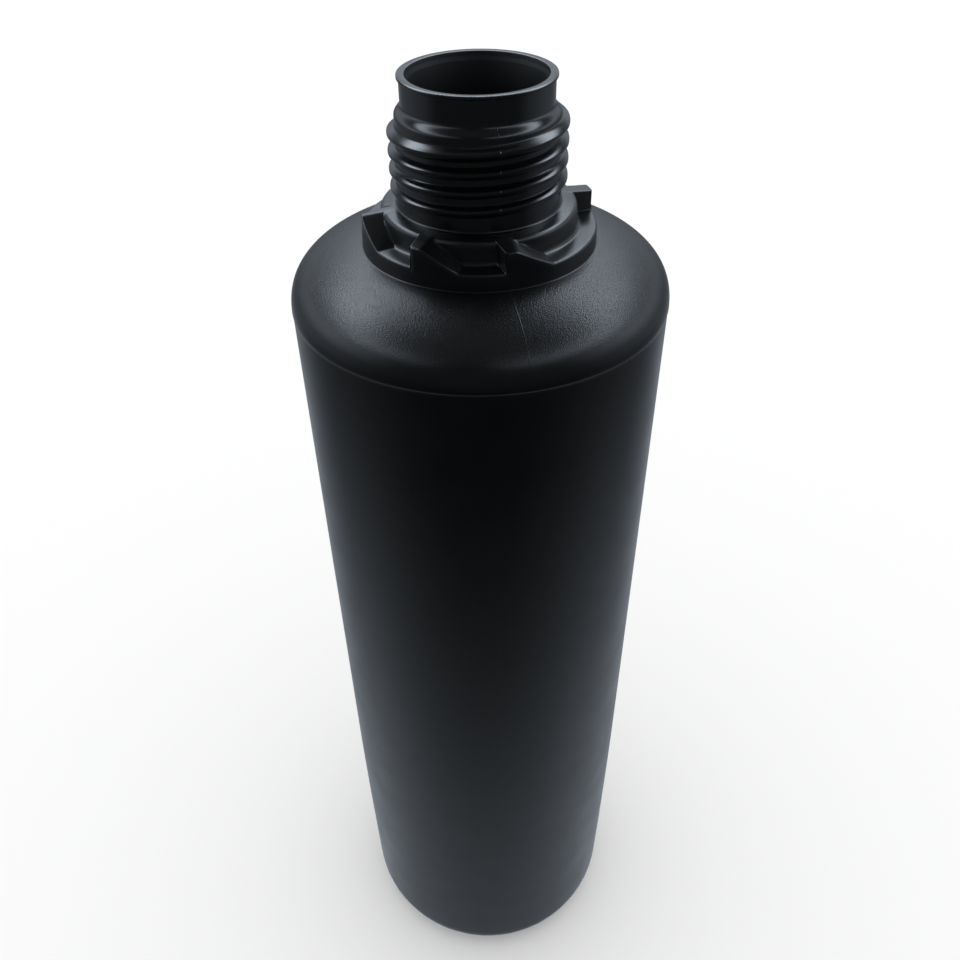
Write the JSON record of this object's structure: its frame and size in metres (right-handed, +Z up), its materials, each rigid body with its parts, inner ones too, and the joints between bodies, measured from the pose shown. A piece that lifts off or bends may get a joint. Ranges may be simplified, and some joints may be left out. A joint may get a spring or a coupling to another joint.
{
  "type": "plastic bottle",
  "caption": "Tall round blow-moulded bottle, open at the top, with a threaded neck above a ratchet ring for a locking closure.",
  "frame": {"origin": "centre of the foot, on the plane that the bottle stands on", "axes": "+Z up along the bottle's axis towards the mouth, -Y towards the viewer of the picture, +X to the viewer's right"},
  "size_m": [0.0916, 0.0916, 0.3125],
  "materials": {
    "black_plastic": "near-black satin polyethylene, fine grain on the shoulder"
  },
  "bodies": {
    "root": {"bottle": "black_plastic"}
  },
  "joints": []
}
